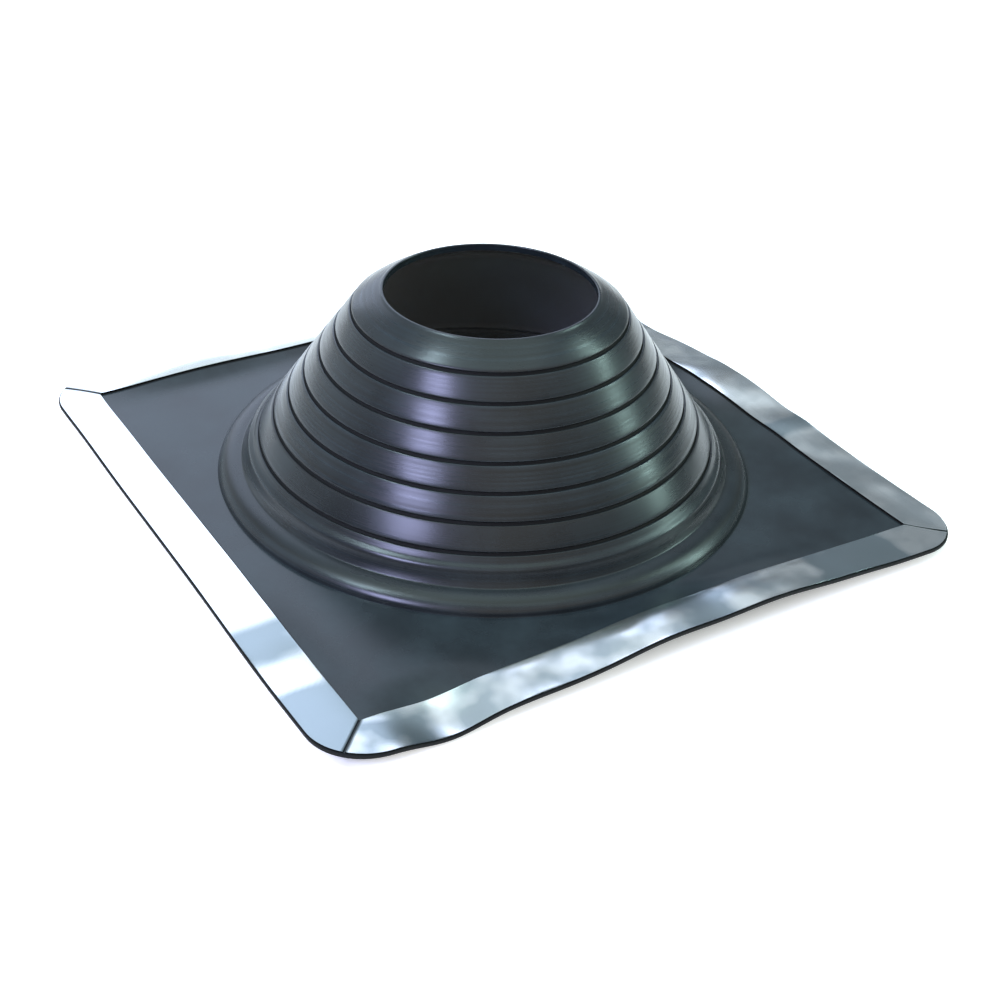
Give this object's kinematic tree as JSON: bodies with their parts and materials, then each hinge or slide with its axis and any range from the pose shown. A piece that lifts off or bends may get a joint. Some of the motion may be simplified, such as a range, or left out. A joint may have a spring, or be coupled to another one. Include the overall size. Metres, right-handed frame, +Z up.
{
  "type": "pipe flashing boot",
  "caption": "Square rubber roof flashing boot: grooved cone with round pipe opening, bead foot and wavy flange edged with soft aluminium strips.",
  "frame": {"origin": "on the cone's axis, at the level of the lowest point of the wavy border, which is the surface it rests on", "axes": "+Z up along the cone's axis, towards the pipe opening; X and Y along the sides of the square flange, front is -Y"},
  "size_m": [0.43, 0.43, 0.1302],
  "materials": {
    "rubber": "satin moulded rubber",
    "aluminium": "soft dead-annealed strip, slightly cloudy"
  },
  "bodies": {
    "root": {"boot": "rubber", "strip_front": "aluminium", "strip_right": "aluminium", "strip_back": "aluminium", "strip_left": "aluminium"}
  },
  "joints": []
}
